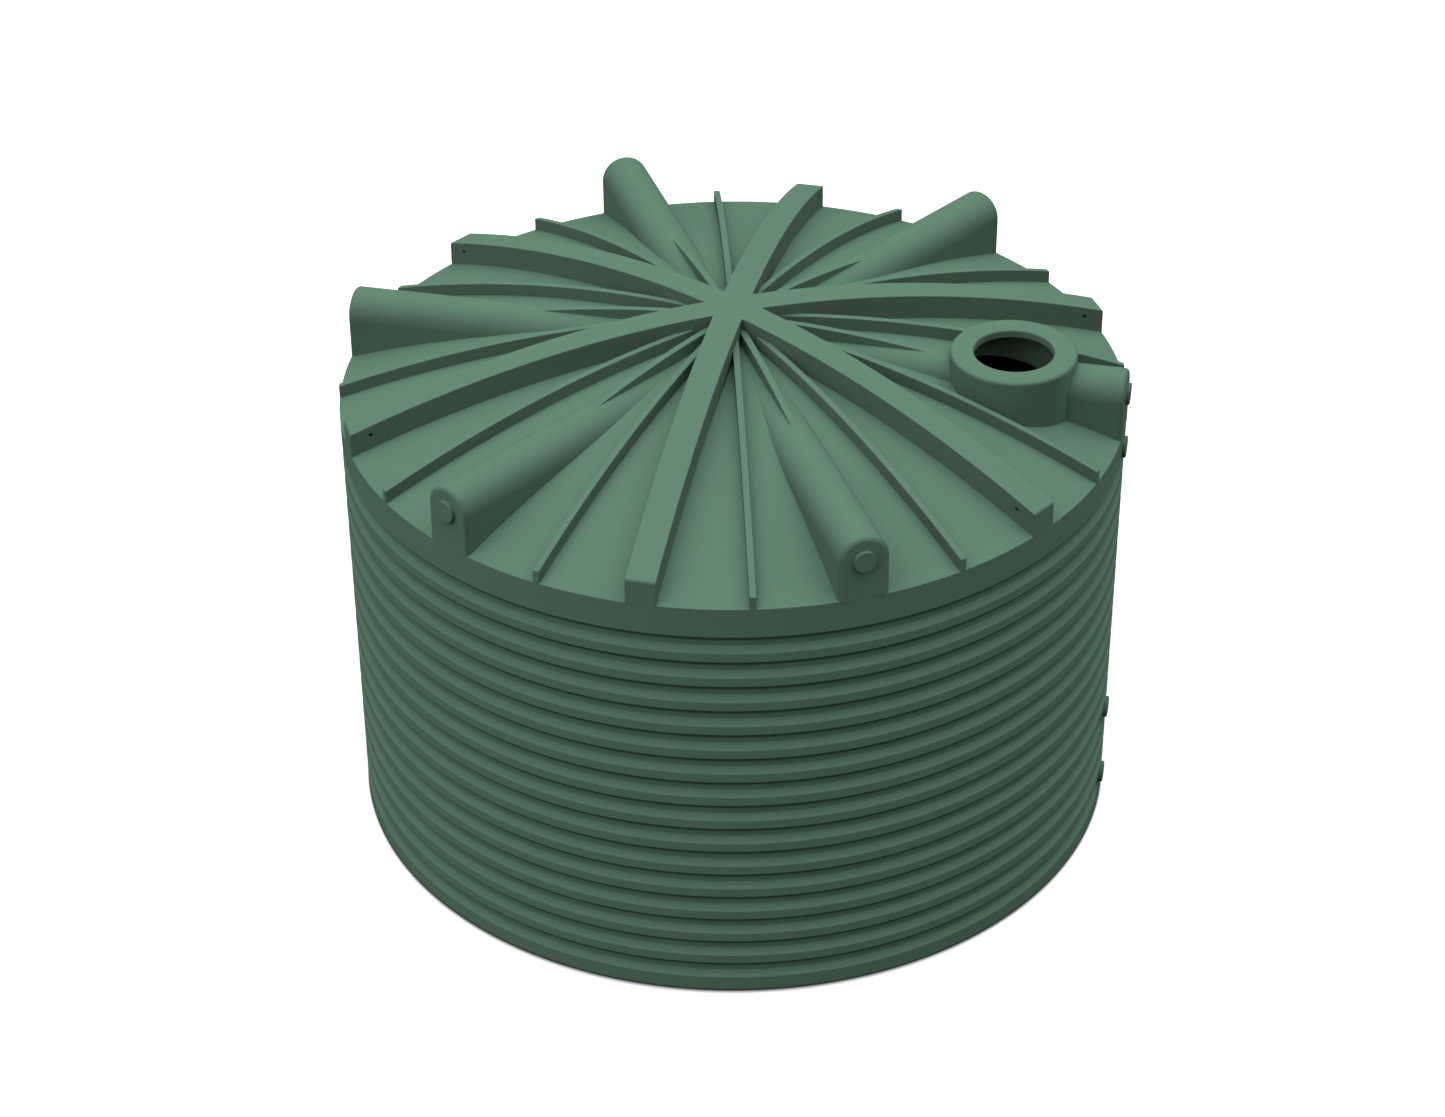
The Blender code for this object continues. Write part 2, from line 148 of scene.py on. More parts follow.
moulded = shader_group(
    "moulded skin",
    {
        "Cool resin": ("NodeSocketColor", RESIN_COOL),
        "Warm resin": ("NodeSocketColor", RESIN_WARM),
        "Tone drift": ("NodeSocketFloat", 0.05),
        # Painted shade: the colour that upright faces are darkened by.
        "Painted side shade": ("NodeSocketColor", WHITE),
        # Painted light: the colour that faces looking straight out are paled by.
        "Painted outer light": ("NodeSocketColor", WHITE),
        # Painted shade: how much darker faces that look down are.
        "Painted underside shade": ("NodeSocketFloat", 0.0),
        "Peel size": ("NodeSocketFloat", 0.007),
        "Peel depth": ("NodeSocketFloat", 0.00012),
        "Wave size": ("NodeSocketFloat", 0.30),
        "Wave depth": ("NodeSocketFloat", 0.0010),
        "Roughness": ("NodeSocketFloat", 0.60),
    },
    {"Color": "NodeSocketColor", "Roughness": "NodeSocketFloat", "Height": "NodeSocketFloat"},
)
given = moulded.nodes["in"].outputs
result = moulded.nodes["out"].inputs
place = add(moulded, "ShaderNodeTexCoord").outputs["Object"]
clouds = noise(moulded, {"Vector": place, "Scale": 1.9, "Detail": 3.0, "Roughness": 0.55})
mottle = noise(moulded, {"Vector": place, "Scale": 26.0, "Detail": 3.0, "Roughness": 0.6})
tint = mixed(moulded, clouds, given["Cool resin"], given["Warm resin"])
uneven = maths(
    moulded,
    "ADD",
    maths(moulded, "MULTIPLY", clouds, CLOUD_SHARE),
    maths(moulded, "MULTIPLY", mottle, MOTTLE_SHARE),
)
drift = maths(moulded, "SUBTRACT", uneven, NOISE_MEAN)
tone = maths(moulded, "MULTIPLY_ADD", drift, given["Tone drift"], 1.0)
facing = add(moulded, "ShaderNodeNewGeometry").outputs["Normal"]
upward = add(moulded, "ShaderNodeSeparateXYZ", {0: facing}).outputs["Z"]
# Painted shade: upright faces take the darker side colour.
upright = eased(moulded, upward, SIDE_SPAN, 1.0, 0.0)
painted_side_shade = mixed(moulded, upright, WHITE, given["Painted side shade"])
outward = vector_maths(moulded, "NORMALIZE", vector_maths(moulded, "MULTIPLY", place, LEVEL_PART))
faces_out = vector_maths(moulded, "DOT_PRODUCT", facing, outward)
# Painted light: faces that look straight out are paler, on top of the painted side shade.
outer_face = eased(moulded, faces_out, OUTER_SPAN, 0.0, 1.0)
painted_light_and_shade = mixed(moulded, outer_face, painted_side_shade, given["Painted outer light"])
# Painted shade: faces that look down, under the ridges, are darker.
underside = eased(moulded, upward, UNDER_SPAN, 1.0, 0.0)
underside_shade = maths(moulded, "MULTIPLY", underside, given["Painted underside shade"])
tone = maths(moulded, "MULTIPLY", tone, maths(moulded, "SUBTRACT", 1.0, underside_shade))
colour = vector_maths(moulded, "MULTIPLY", vector_maths(moulded, "MULTIPLY", tint, painted_light_and_shade), tone)
moulded.links.new(colour, result["Color"])
drift = maths(moulded, "SUBTRACT", mottle, NOISE_MEAN)
roughness = maths(moulded, "MULTIPLY_ADD", drift, ROUGHNESS_DRIFT, given["Roughness"])
moulded.links.new(roughness, result["Roughness"])
peel_scale = maths(moulded, "DIVIDE", 1.0, given["Peel size"])
peel = noise(moulded, {"Vector": place, "Scale": peel_scale, "Detail": 1.0})
wave_scale = maths(moulded, "DIVIDE", 1.0, given["Wave size"])
wave = noise(moulded, {"Vector": place, "Scale": wave_scale, "Detail": 1.0})
height = maths(
    moulded,
    "ADD",
    maths(moulded, "MULTIPLY", peel, given["Peel depth"]),
    maths(moulded, "MULTIPLY", wave, given["Wave depth"]),
)
moulded.links.new(height, result["Height"])


def moulded_plastic(name, skin):
    """Moulded polyethylene with no gloss, with its own values for the skin's effects."""
    material = bpy.data.materials.new(name)
    material.use_nodes = True
    tree = material.node_tree
    shader = tree.nodes["Principled BSDF"]
    surface = add(tree, "ShaderNodeGroup", node_tree=moulded)
    for label, value in skin.items():
        surface.inputs[label].default_value = value
    height = surface.outputs["Height"]
    relief = add(tree, "ShaderNodeBump", {"Height": height, "Strength": 1.0, "Distance": 1.0})
    tree.links.new(surface.outputs["Color"], shader.inputs["Base Color"])
    tree.links.new(surface.outputs["Roughness"], shader.inputs["Roughness"])
    tree.links.new(relief.outputs["Normal"], shader.inputs["Normal"])
    shader.inputs["Specular IOR Level"].default_value = 0.0
    shader.inputs["IOR"].default_value = 1.50
    return material


# ---------------------------------------------------------------------------
# Tank floor
# The flat floor is moulded in one with the wall and lies on the prepared base. It is a plain disc
# with the same skin as the wall, seen from below and, in the dark, through the manhole.
# ---------------------------------------------------------------------------
TANK_RADIUS = 1.975
TURN_STEPS = 192
FLOOR_CLEARANCE = 0.0002
FLOOR_EDGE = 0.003
CREASE = 40.0

floor_skin = moulded_plastic("floor_polyethylene", {"Wave depth": 0.0015, "Roughness": 0.68})
floor_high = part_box("floor")[1]
floor_radius = floor_high.x - FLOOR_CLEARANCE
outline = [
    (0.0, 0.0),
    (floor_radius - FLOOR_EDGE, 0.0),
    (floor_radius, FLOOR_EDGE),
    (floor_radius, floor_high.z),
    (0.0, floor_high.z),
]


def turned(outline, steps, centre=(0.0, 0.0), closed=False):
    """A bmesh of an outline of radius and height turned about an upright axis, its poles closed."""
    bm = bmesh.new()
    rings = []
    for radius, height in outline:
        if radius == 0.0:
            rings.append([bm.verts.new((centre[0], centre[1], height))])
            continue
        ring = []
        for step in range(steps):
            angle = 2.0 * math.pi * step / steps
            x = centre[0] + radius * math.cos(angle)
            y = centre[1] + radius * math.sin(angle)
            ring.append(bm.verts.new((x, y, height)))
        rings.append(ring)
    pairs = list(zip(rings, rings[1:]))
    if closed:
        pairs.append((rings[-1], rings[0]))
    for here, there in pairs:
        for step in range(steps):
            after = (step + 1) % steps
            corners = [here[step % len(here)], here[after % len(here)]]
            corners += [there[after % len(there)], there[step % len(there)]]
            face = list(dict.fromkeys(corners))
            if len(face) > 2:
                bm.faces.new(face)
    bmesh.ops.recalc_face_normals(bm, faces=bm.faces)
    return bm


def new_piece(name, bm, material):
    """A smooth-shaded mesh object from a bmesh, with the edges past the crease angle kept sharp."""
    mesh = bpy.data.meshes.new(name)
    bm.to_mesh(mesh)
    bm.free()
    mesh.materials.append(material)
    mesh.shade_smooth()
    mesh.set_sharp_from_angle(angle=math.radians(CREASE))
    piece = bpy.data.objects.new(name, mesh)
    bpy.context.scene.collection.objects.link(piece)
    return piece


def keep_piece(piece, *nodes):
    """Makes a finished mesh a piece of the tank that stands for its CAD nodes."""
    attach(piece, "root")
    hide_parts(*nodes)


keep_piece(new_piece("tank_floor", turned(outline, TURN_STEPS), floor_skin), "floor")

# ---------------------------------------------------------------------------
# Corrugated wall
# The wall stands plumb, stiffened by fifteen grooves under a smooth band. Each groove starts with a
# short coved undercut, runs down its valley and curves back out to the next ridge's flat face. The
# lowest ridge is taller and stands on a rounded foot. It is all one moulding, so it has no seam.
# ---------------------------------------------------------------------------
# The wall's resin is painted paler than the roof's, as painted light on its upright faces.
WALL_COOL_PAINTED_LIGHT = (0.1318, 0.2422, 0.1775, 1.0)
WALL_WARM_PAINTED_LIGHT = (0.1347, 0.2422, 0.1681, 1.0)
WALL_TOP = 2.268
WALL_SIZES = {
    "Tank radius": TANK_RADIUS,
    "Wall top": WALL_TOP,
    "First groove": 2.125,
    "Ridge pitch": 0.1395,
    "Ridge face": 0.0465,
    "Groove depth": 0.0195,
    "Undercut": 0.0275,
    "Valley": 0.0290,
    "Corner round": 0.0020,
    "Base round": 0.006,
    "Wall skin": 0.0056,
}
WALL_COUNTS = {"Grooves": 15, "Turn steps": TURN_STEPS}
SECTORS = 6
UNDERCUT_STEPS = 4
UNDERCUT_COVE = 0.30
SLOPE_STEPS = 4
SLOPE_CURVE = 0.10
BASE_ROUND_STEPS = 8
WALL_WELD = 0.0001
WALL_CREASE = 12.0


def geometry_tree(name, sizes, counts):
    """A geometry node tree with a named input for each size and count, and one for the material."""
    tree = bpy.data.node_groups.new(name, "GeometryNodeTree")
    tree.interface.new_socket("Geometry", in_out="OUTPUT", socket_type="NodeSocketGeometry")
    for values, kind in ((sizes, "NodeSocketFloat"), (counts, "NodeSocketInt")):
        for label, value in values.items():
            socket = tree.interface.new_socket(label, in_out="INPUT", socket_type=kind)
            socket.default_value = value
    tree.interface.new_socket("Finish", in_out="INPUT", socket_type="NodeSocketMaterial")
    tree.nodes.new("NodeGroupInput").name = "in"
    tree.nodes.new("NodeGroupOutput").name = "out"
    return tree


def picked(tree, index, values):
    """The value that an index picks from a list of values or sockets."""
    switch = add(tree, "GeometryNodeIndexSwitch", data_type="FLOAT")
    while len(switch.index_switch_items) < len(values):
        switch.index_switch_items.new()
    tree.links.new(index, switch.inputs["Index"])
    for number, value in enumerate(values):
        socket = switch.inputs[number + 1]
        if isinstance(value, bpy.types.NodeSocket):
            tree.links.new(value, socket)
        else:
            socket.default_value = value
    return switch.outputs[0]


def close_tree(tree, geometry):
    """Ends a tree in realised instances with the finish that it is given."""
    real = add(tree, "GeometryNodeRealizeInstances", {"Geometry": geometry})
    finished = add(
        tree,
        "GeometryNodeSetMaterial",
        {"Geometry": real.outputs[0], "Material": tree.nodes["in"].outputs["Finish"]},
    )
    tree.links.new(finished.outputs[0], tree.nodes["out"].inputs[0])


def grown_piece(name, tree, values):
    """An object whose mesh a geometry node tree makes from named values."""
    piece = bpy.data.objects.new(name, bpy.data.meshes.new(name))
    bpy.context.scene.collection.objects.link(piece)
    modifier = piece.modifiers.new(tree.name, "NODES")
    modifier.node_group = tree
    for item in tree.interface.items_tree:
        if item.in_out == "INPUT" and item.name in values:
            modifier[item.identifier] = values[item.name]
    return piece


def either(tree, first_share, first, second):
    """The first value where the share is 1, and the second where it is 0."""
    return maths(tree, "MULTIPLY_ADD", maths(tree, "SUBTRACT", first, second), first_share, second)


# The wall's section is one line of points: the same few for every groove from the top down, then
# the four corners of the foot, the inner face and the top.
wall_tree = geometry_tree("grooved wall", WALL_SIZES, WALL_COUNTS)
given = wall_tree.nodes["in"].outputs
valley_foot = maths(wall_tree, "ADD", given["Undercut"], given["Valley"])
slope_foot = maths(wall_tree, "SUBTRACT", given["Ridge pitch"], given["Ridge face"])
slope_drop = maths(wall_tree, "SUBTRACT", slope_foot, valley_foot)
depths, drops = [], []
for step in range(UNDERCUT_STEPS + 1):
    share = step / UNDERCUT_STEPS
    angle = math.pi / 2.0 * share
    inward_share = share + UNDERCUT_COVE * (math.sin(angle) - share)
    drop_share = share + UNDERCUT_COVE * (1.0 - math.cos(angle) - share)
    depths.append(maths(wall_tree, "MULTIPLY", given["Groove depth"], inward_share))
    drops.append(maths(wall_tree, "MULTIPLY", given["Undercut"], drop_share))
for step in range(SLOPE_STEPS + 1):
    share = step / SLOPE_STEPS
    depth_share = 1.0 - share * (1.0 - SLOPE_CURVE + SLOPE_CURVE * share)
    depths.append(maths(wall_tree, "MULTIPLY", given["Groove depth"], depth_share))
    drops.append(maths(wall_tree, "MULTIPLY_ADD", slope_drop, share, valley_foot))
groove_points = float(len(depths))
index = add(wall_tree, "GeometryNodeInputIndex").outputs[0]
all_grooves = maths(wall_tree, "MULTIPLY", given["Grooves"], groove_points)
half_on = maths(wall_tree, "ADD", index, 0.5)
groove = maths(wall_tree, "FLOOR", maths(wall_tree, "DIVIDE", half_on, groove_points))
corner = maths(wall_tree, "SUBTRACT", index, maths(wall_tree, "MULTIPLY", groove, groove_points))
past = maths(wall_tree, "MAXIMUM", maths(wall_tree, "SUBTRACT", index, all_grooves), 0.0)
on_groove = maths(wall_tree, "LESS_THAN", index, all_grooves)
fall = maths(wall_tree, "MULTIPLY", groove, given["Ridge pitch"])
groove_top = maths(wall_tree, "SUBTRACT", given["First groove"], fall)
groove_height = maths(wall_tree, "SUBTRACT", groove_top, picked(wall_tree, corner, drops))
inner_depth = maths(wall_tree, "ADD", given["Groove depth"], given["Wall skin"])
end_depths = [0.0, inner_depth, inner_depth, 0.0]
end_heights = [0.0, 0.0, given["Wall top"], given["Wall top"]]
groove_depth = picked(wall_tree, corner, depths)
inward = either(wall_tree, on_groove, groove_depth, picked(wall_tree, past, end_depths))
height = either(wall_tree, on_groove, groove_height, picked(wall_tree, past, end_heights))
section_place = add(
    wall_tree,
    "ShaderNodeCombineXYZ",
    {
        "X": maths(wall_tree, "MULTIPLY", inward, -1.0),
        "Y": maths(wall_tree, "MULTIPLY", height, -1.0),
    },
)
all_points = maths(wall_tree, "ADD", all_grooves, float(len(end_depths)))
line = add(wall_tree, "GeometryNodeMeshLine", {"Count": all_points})
placed = add(
    wall_tree,
    "GeometryNodeSetPosition",
    {"Geometry": line.outputs[0], "Position": section_place.outputs[0]},
)
curve = add(wall_tree, "GeometryNodeMeshToCurve", {"Mesh": placed.outputs[0]}).outputs[0]
loop = add(wall_tree, "GeometryNodeSetSplineCyclic", {"Geometry": curve, "Cyclic": True})
ends_slope = add(
    wall_tree,
    "FunctionNodeCompare",
    {"A": corner, "B": groove_points - 1.0, "Epsilon": 0.1},
    data_type="FLOAT",
    operation="EQUAL",
).outputs[0]
ridge_edge = maths(wall_tree, "MULTIPLY", ends_slope, on_groove)
ridge_round = maths(wall_tree, "MULTIPLY", ridge_edge, given["Corner round"])
at_base = maths(wall_tree, "COMPARE", index, all_grooves, 0.5)
rounded = add(
    wall_tree,
    "GeometryNodeFilletCurve",
    {
        "Curve": loop.outputs[0],
        "Count": maths(wall_tree, "MULTIPLY_ADD", at_base, BASE_ROUND_STEPS - 1.0, 1.0),
        "Radius": maths(wall_tree, "MULTIPLY_ADD", at_base, given["Base round"], ridge_round),
        "Limit Radius": True,
    },
    mode="POLY",
)
circle = add(
    wall_tree,
    "GeometryNodeCurvePrimitiveCircle",
    {"Resolution": given["Turn steps"], "Radius": given["Tank radius"]},
    mode="RADIUS",
)
around = add(wall_tree, "GeometryNodeSetCurveNormal", {"Curve": circle.outputs[0]}, mode="Z_UP")
skin = add(
    wall_tree,
    "GeometryNodeCurveToMesh",
    {"Curve": around.outputs[0], "Profile Curve": rounded.outputs[0]},
)
welded = add(
    wall_tree,
    "GeometryNodeMergeByDistance",
    {"Geometry": skin.outputs[0], "Distance": WALL_WELD},
)
close_tree(wall_tree, welded.outputs[0])


def settle(piece, crease=CREASE):
    """Bakes a piece's modifiers, then normals that keep flat faces flat beside small rounds."""
    for flattened in (False, True):
        bpy.context.view_layer.update()
        graph = bpy.context.evaluated_depsgraph_get()
        mesh = bpy.data.meshes.new_from_object(piece.evaluated_get(graph))
        piece.modifiers.clear()
        old = piece.data
        piece.data = mesh
        bpy.data.meshes.remove(old)
        mesh.name = piece.name
        if not flattened:
            mesh.shade_smooth()
            mesh.set_sharp_from_angle(angle=math.radians(crease))
            flatten = piece.modifiers.new("flat faces", "WEIGHTED_NORMAL")
            flatten.keep_sharp = True
    return piece


# The wall's undersides below the ridges carry painted shade.
wall_skin = moulded_plastic(
    "wall_polyethylene", {"Cool resin": WALL_COOL_PAINTED_LIGHT, "Warm resin": WALL_WARM_PAINTED_LIGHT, "Painted underside shade": 0.25}
)
wall_values = {**WALL_SIZES, **WALL_COUNTS, "Finish": wall_skin}
wall = settle(grown_piece("corrugated_wall", wall_tree, wall_values), WALL_CREASE)
keep_piece(wall, *[f"wall_segment_{number}" for number in range(1, SECTORS + 1)])

# ---------------------------------------------------------------------------
# Domed roof
# The roof is a shallow dome that ends in a crisp rim flush with the wall's band. It is open under
# the manhole collar, so that the inside shows through, and everything that stands on it is moulded
# in one with it.
# ---------------------------------------------------------------------------
# Painted shade darkens the roof's upright faces, and painted light pales the faces that look
# straight out.
ROOF_PAINTED_LIGHT = {
    "Painted side shade": (0.962, 0.796, 0.876, 1.0),
    "Painted outer light": (1.120, 1.078, 1.115, 1.0),
}
RIM_HEIGHT = 2.280
ROOF_RISE = 0.345
ROOF_SKIN = 0.012
RIM_ROUND = 0.0025
RIM_ROUND_STEPS = 3
ROOF_RINGS = 44
INSIDE_RINGS = 11
COLLAR_X = 1.409
COLLAR_RADIUS = 0.3133
COLLAR_BORE = 0.2943
COLLAR_SEAT = (COLLAR_RADIUS + COLLAR_BORE) / 2.0
OPENING_STEPS = 96
OPENING_CUT_DEPTH = 1.0


def dome_height(radius):
    """Height of the dome's outer face at a distance from the tank's axis."""
    return RIM_HEIGHT + ROOF_RISE * (1.0 - (radius / TANK_RADIUS) ** 2)


def round_corner(centre, radius, start, end, steps):
    """Points on an arc of radius and height, from one angle in degrees to another."""
    points = []
    for step in range(steps + 1):
        angle = math.radians(start + (end - start) * step / steps)
        points.append((centre[0] + radius * math.cos(angle), centre[1] + radius * math.sin(angle)))
    return points


def add_round_bar(bm, radius, depth, steps, place):
    """Adds a closed round bar, the shape of a drill, laid by a matrix."""
    bmesh.ops.create_cone(
        bm,
        cap_ends=True,
        segments=steps,
        radius1=radius,
        radius2=radius,
        depth=depth,
        matrix=place,
    )


def cut_with(piece, cutter):
    """Cuts a closed shape out of a piece and removes the cutter."""
    modifier = piece.modifiers.new("cut", "BOOLEAN")
    modifier.operation = "DIFFERENCE"
    modifier.solver = "EXACT"
    modifier.object = cutter
    settle(piece)
    bpy.data.objects.remove(cutter, do_unlink=True)


roof_skin = moulded_plastic("roof_polyethylene", ROOF_PAINTED_LIGHT)
rim_slope = math.degrees(math.atan2(TANK_RADIUS, 2.0 * ROOF_RISE))
rim_centre = (TANK_RADIUS - RIM_ROUND, dome_height(TANK_RADIUS - RIM_ROUND) - RIM_ROUND)
radii = [(TANK_RADIUS - RIM_ROUND) * ring / ROOF_RINGS for ring in range(ROOF_RINGS)]
outline = [(radius, dome_height(radius)) for radius in radii]
outline += round_corner(rim_centre, RIM_ROUND, rim_slope, 0.0, RIM_ROUND_STEPS)
outline += [(TANK_RADIUS, WALL_TOP)]
inside_radii = [TANK_RADIUS * ring / INSIDE_RINGS for ring in range(INSIDE_RINGS)]
outline += [(radius, dome_height(radius) - ROOF_SKIN) for radius in reversed(inside_radii)]
roof = new_piece("domed_roof", turned(outline, TURN_STEPS), roof_skin)
bm = bmesh.new()
place = Matrix.Translation((COLLAR_X, 0.0, RIM_HEIGHT))
add_round_bar(bm, COLLAR_SEAT, OPENING_CUT_DEPTH, OPENING_STEPS, place)
cut_with(roof, new_piece("collar_opening", bm, roof_skin))
keep_piece(roof, *[f"roof_panel_{number}" for number in range(1, SECTORS + 1)])

# ---------------------------------------------------------------------------
# Main ribs and hub
# Six flat-topped box ribs run from a six-sided hub to the rim at one height over the dome, where
# they end flush with the band. Their top edges are slightly rounded, the outer end more so, and
# each has a small hole through it near the rim for a lifting or tie-down rope.
# ---------------------------------------------------------------------------
SECTOR_TURN = 2.0 * math.pi / SECTORS
RIB_ROOT = 0.004
MAIN_RIB_WIDTH = 0.146
MAIN_RIB_HEIGHT = 0.126
MAIN_RIB_STEPS = 44
MAIN_RIB_END_ROUND = 0.014
MAIN_RIB_END_START = 72.0
MAIN_RIB_END_STEPS = 4
MAIN_RIB_EDGE_ROUND = 0.004
MAIN_RIB_CREASE = 45.0
HUB_CORNER_REACH = 1.2
EDGE_ROUND_STEPS = 3
EDGE_WELD = 0.00005
LIFTING_HOLE_RADIUS = 0.012
LIFTING_HOLE_STEPS = 32
LIFTING_HOLE_PLACE = (TANK_RADIUS - 0.104, RIM_HEIGHT + 0.109)
LIFTING_HOLE_CUT_DEPTH = MAIN_RIB_WIDTH * 1.5

bm = bmesh.new()
half = MAIN_RIB_WIDTH / 2.0
hub_side = half / math.tan(SECTOR_TURN / 2.0)
end_start = TANK_RADIUS - MAIN_RIB_END_ROUND
crest = []
for step in range(MAIN_RIB_STEPS + 1):
    along = hub_side + (end_start - hub_side) * step / MAIN_RIB_STEPS
    crest.append((along, dome_height(along) + MAIN_RIB_HEIGHT))
end_centre = (end_start, crest[-1][1] - MAIN_RIB_END_ROUND)
crest += round_corner(end_centre, MAIN_RIB_END_ROUND, MAIN_RIB_END_START, 0.0, MAIN_RIB_END_STEPS)
for number in range(SECTORS):
    turn = Matrix.Rotation((number + 0.5) * SECTOR_TURN, 3, "Z")
    stations = []
    for along, top in crest:
        foot = dome_height(math.hypot(along, half)) - RIB_ROOT
        stations.append(
            [
                bm.verts.new(turn @ Vector((along, side * half, level)))
                for side in (-1.0, 1.0)
                for level in (foot, top)
            ]
        )
    for here, there in zip(stations, stations[1:]):
        bm.faces.new((here[1], there[1], there[3], here[3]))
        bm.faces.new((here[0], here[2], there[2], there[0]))
        bm.faces.new((here[0], there[0], there[1], here[1]))
        bm.faces.new((here[2], here[3], there[3], there[2]))
    last = stations[-1]
    bm.faces.new((last[0], last[2], last[3], last[1]))
bmesh.ops.remove_doubles(bm, verts=bm.verts, dist=EDGE_WELD)
hub_corners = sorted(
    (vert for vert in bm.verts if vert.co.xy.length < hub_side * HUB_CORNER_REACH),
    key=lambda vert: math.atan2(vert.co.y, vert.co.x),
)
hub_middle = sum(vert.co.z for vert in hub_corners) / len(hub_corners)
bm.faces.new([vert for vert in hub_corners if vert.co.z > hub_middle])
bm.faces.new([vert for vert in reversed(hub_corners) if vert.co.z < hub_middle])
bmesh.ops.recalc_face_normals(bm, faces=bm.faces)
edges = []
for edge in bm.edges:
    if len(edge.link_faces) == 2 and edge.calc_face_angle() > math.radians(MAIN_RIB_CREASE):
        if any(vert.co.z > dome_height(vert.co.xy.length) + RIB_ROOT for vert in edge.verts):
            edges.append(edge)
bmesh.ops.bevel(
    bm,
    geom=edges,
    offset=MAIN_RIB_EDGE_ROUND,
    segments=EDGE_ROUND_STEPS,
    profile=0.5,
    affect="EDGES",
)
rib_skin = moulded_plastic("rib_polyethylene", ROOF_PAINTED_LIGHT)
main_ribs = new_piece("main_ribs_and_hub", bm, rib_skin)
bm = bmesh.new()
lay = Matrix.Rotation(math.pi / 2.0, 4, "X")
move = Matrix.Translation((LIFTING_HOLE_PLACE[0], 0.0, LIFTING_HOLE_PLACE[1]))
for number in range(SECTORS):
    place = Matrix.Rotation((number + 0.5) * SECTOR_TURN, 4, "Z") @ move @ lay
    add_round_bar(bm, LIFTING_HOLE_RADIUS, LIFTING_HOLE_CUT_DEPTH, LIFTING_HOLE_STEPS, place)
cut_with(main_ribs, new_piece("lifting_holes", bm, rib_skin))
keep_piece(main_ribs, "roof_hub", *[f"main_rib_{number}" for number in range(1, SECTORS + 1)])

# ---------------------------------------------------------------------------
# Narrow ribs
# Two thin upright ribs stand on each sector of the dome, fifteen degrees to either side of its
# middle. They come out of the main ribs' sides near the hub, keep one height over the dome and end
# flush with the band.
# ---------------------------------------------------------------------------
RIB_SIZES = {
    "Tank radius": TANK_RADIUS,
    "Rim height": RIM_HEIGHT,
    "Roof rise": ROOF_RISE,
    "Start": 0.240,
    "Width": 0.0325,
    "Rib height": 0.067,
    "Root": RIB_ROOT,
    "Sector angle": SECTOR_TURN,
    "Side angle": math.radians(15.0),
}
RIB_COUNTS = {"Ribs": 12, "Steps along": 40}
NARROW_RIB_EDGE_ROUND = 0.003
NARROW_RIB_CREASE = 50.0

rib_tree = geometry_tree("narrow ribs", RIB_SIZES, RIB_COUNTS)
given = rib_tree.nodes["in"].outputs
length = maths(rib_tree, "SUBTRACT", given["Tank radius"], given["Start"])
bar_size = add(rib_tree, "ShaderNodeCombineXYZ", {"X": length, "Y": given["Width"], "Z": 1.0})
bar = add(
    rib_tree,
    "GeometryNodeMeshCube",
    {"Size": bar_size.outputs[0], "Vertices X": given["Steps along"]},
)
position = add(rib_tree, "GeometryNodeInputPosition").outputs[0]
at = add(rib_tree, "ShaderNodeSeparateXYZ", {0: position})
bar_middle = maths(rib_tree, "MULTIPLY_ADD", length, 0.5, given["Start"])
along = maths(rib_tree, "ADD", at.outputs["X"], bar_middle)
share = maths(rib_tree, "DIVIDE", along, given["Tank radius"])
fall = maths(rib_tree, "SUBTRACT", 1.0, maths(rib_tree, "MULTIPLY", share, share))
surface = maths(rib_tree, "MULTIPLY_ADD", fall, given["Roof rise"], given["Rim height"])
is_top = maths(rib_tree, "GREATER_THAN", at.outputs["Z"], 0.0)
sink = maths(rib_tree, "MULTIPLY", given["Root"], -1.0)
lift = either(rib_tree, is_top, given["Rib height"], sink)
seat = add(
    rib_tree,
    "ShaderNodeCombineXYZ",
    {"X": along, "Y": at.outputs["Y"], "Z": maths(rib_tree, "ADD", surface, lift)},
)
draped = add(
    rib_tree, "GeometryNodeSetPosition", {"Geometry": bar.outputs[0], "Position": seat.outputs[0]}
)
# The ribs go round in pairs, one on either side of each sector's middle.
points = add(rib_tree, "GeometryNodePoints", {"Count": given["Ribs"]})
number = add(rib_tree, "GeometryNodeInputIndex").outputs[0]
sector = maths(rib_tree, "FLOOR", maths(rib_tree, "DIVIDE", number, 2.0))
side = maths(rib_tree, "MULTIPLY_ADD", maths(rib_tree, "MODULO", number, 2.0), 2.0, -1.0)
sector_angle = maths(rib_tree, "MULTIPLY", sector, given["Sector angle"])
turn = maths(rib_tree, "MULTIPLY_ADD", side, given["Side angle"], sector_angle)
angles = add(rib_tree, "ShaderNodeCombineXYZ", {"Z": turn}).outputs[0]
spin = add(rib_tree, "FunctionNodeEulerToRotation", {0: angles})
spread = add(
    rib_tree,
    "GeometryNodeInstanceOnPoints",
    {"Points": points.outputs[0], "Instance": draped.outputs[0], "Rotation": spin.outputs[0]},
)
close_tree(rib_tree, spread.outputs[0])
rib_values = {**RIB_SIZES, **RIB_COUNTS, "Finish": rib_skin}
narrow_ribs = grown_piece("narrow_ribs", rib_tree, rib_values)
soften = narrow_ribs.modifiers.new("edge round", "BEVEL")
soften.width = NARROW_RIB_EDGE_ROUND
soften.segments = EDGE_ROUND_STEPS
soften.limit_method = "ANGLE"
soften.angle_limit = math.radians(NARROW_RIB_CREASE)
rib_nodes = [f"narrow_rib_{number}" for number in range(1, RIB_COUNTS["Ribs"] + 1)]
keep_piece(settle(narrow_ribs), *rib_nodes)

